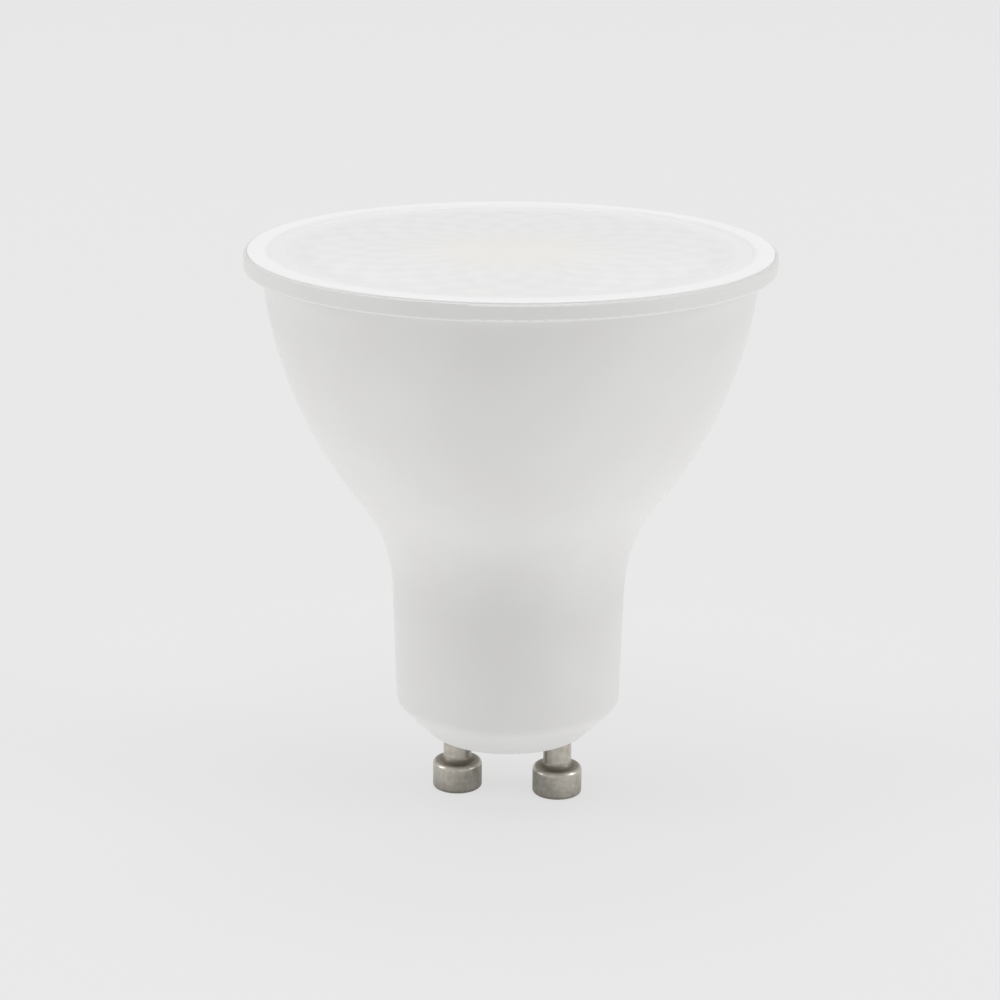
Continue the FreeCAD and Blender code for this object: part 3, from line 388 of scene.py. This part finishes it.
def build_materials():
    slots = {
        "white_plastic": white_plastic(),
        "clear_plastic": clear_plastic(),
        "nickel": nickel(),
        "phosphor": phosphor(),
        "copper_coil": copper_coil(),
    }
    for name, finish in METALS.items():
        slots[name] = plain(name, *finish, METAL_PATCH, metallic=1.0)
    for name, finish in MOULDINGS.items():
        slots[name] = plain(name, *finish, MOULDED_PATCH, metallic=0.0)
    return slots


def dress(node, material):
    node.data.materials.clear()
    node.data.materials.append(material)


# Stage


def floor_material():
    """A pale light table. The camera sees its glow evenly, and the lamp gets less of it from the
    part that it stands over than from further off: a painted shadow in the glow."""
    shader = Shader("floor")
    shader.set(Base_Color=grey(FLOOR_LEVEL), Roughness=1.0, Specular_IOR_Level=0.0)
    radius = shader.radius()
    on_matt = shader.ranged(radius, *FLOOR_GLOW_ON_MATT, FLOOR_SHADE_ON_MATT)
    on_gloss = shader.ranged(radius, *FLOOR_GLOW_ON_GLOSS, FLOOR_SHADE_ON_GLOSS)
    glossy = ray_kinds(shader.tree, "Is Glossy Ray")
    seen = ray_kinds(shader.tree, "Is Camera Ray", "Is Transmission Ray")
    lighting = shader.ranged(glossy, on_matt, on_gloss, FULL_SPAN)
    glow = shader.nodes.new("ShaderNodeEmission")
    glow.inputs["Color"].default_value = grey(FLOOR_LEVEL)
    shader.links.new(shader.ranged(seen, lighting, 1, FULL_SPAN), glow.inputs["Strength"])
    shader.cover(FLOOR_GLOW_SHARE, glow.outputs["Emission"])
    return shader.material


def add_floor():
    mesh = bpy.data.meshes.new("studio_floor")
    half = FLOOR_SIZE / 2
    mesh.from_pydata([(-half, -half, 0), (half, -half, 0), (half, half, 0), (-half, half, 0)], [],
                     [(0, 1, 2, 3)])
    floor = bpy.data.objects.new("studio_floor", mesh)
    scene.collection.objects.link(floor)
    dress(floor, floor_material())


def add_world():
    """Soft light from all round, and a backdrop that the camera and reflections see instead."""
    world = bpy.data.worlds.new("studio")
    world.use_nodes = True
    scene.world = world
    tree = world.node_tree
    light = tree.nodes["Background"]
    light.inputs["Color"].default_value = (1, 1, 1, 1)
    light.inputs["Strength"].default_value = WORLD_STRENGTH
    backdrop = tree.nodes.new("ShaderNodeBackground")
    backdrop.inputs["Color"].default_value = grey(BACKDROP_LEVEL)
    seen = ray_kinds(tree, "Is Camera Ray", "Is Glossy Ray", "Is Transmission Ray")
    surface = mixed_shaders(tree, seen, light.outputs["Background"], backdrop.outputs["Background"])
    tree.links.new(surface, tree.nodes["World Output"].inputs["Surface"])


def round_lamp(distance, angle, height):
    """A place round the lamp's axis, by its angle from the camera's side."""
    heading = CAMERA_AZIMUTH + angle
    return Vector((distance * math.sin(heading), -distance * math.cos(heading), height))


def add_soft_box(name, place, size, power):
    """A soft box that faces the middle of the lamp."""
    data = bpy.data.lights.new(name, "AREA")
    data.shape = "RECTANGLE"
    data.size, data.size_y = size
    data.energy = power
    light = bpy.data.objects.new(name, data)
    scene.collection.objects.link(light)
    low, high = CAD_BOX
    middle = (Vector(low) + Vector(high)) / 2
    light.location = place
    light.rotation_euler = (middle - light.location).to_track_quat("-Z", "Y").to_euler()


def add_soft_boxes():
    """One on each side of the camera's view, and one overhead."""
    for angle, power in SIDE_LIGHTS:
        place = round_lamp(SIDE_LIGHT_DISTANCE, angle, SIDE_LIGHT_HEIGHT)
        add_soft_box("side_light", place, SIDE_LIGHT_SIZE, power)
    add_soft_box("top_light", (0, 0, TOP_LIGHT_HEIGHT), TOP_LIGHT_SIZE, TOP_LIGHT_POWER)


def add_camera():
    data = bpy.data.cameras.new("camera")
    data.sensor_width = SENSOR_WIDTH
    data.lens = FOCAL_RATIO * SENSOR_WIDTH
    camera = bpy.data.objects.new("camera", data)
    scene.collection.objects.link(camera)
    place = round_lamp(CAMERA_DISTANCE, 0, CAMERA_HEIGHT)
    heading = Matrix.Rotation(CAMERA_AZIMUTH - CAMERA_TURN, 4, "Z")
    tilt = Matrix.Rotation(math.pi / 2 - CAMERA_TILT, 4, "X")
    roll = Matrix.Rotation(-CAMERA_ROLL, 4, "Z")
    camera.matrix_world = Matrix.Translation(place) @ heading @ tilt @ roll
    scene.camera = camera


scene.view_settings.view_transform = "Standard"
add_camera()
add_world()
add_floor()
add_soft_boxes()
materials = build_materials()
for part in frame["record"]["subparts"]:
    dress(frame["nodes"][part["node"]], materials[part["material_slot"]])
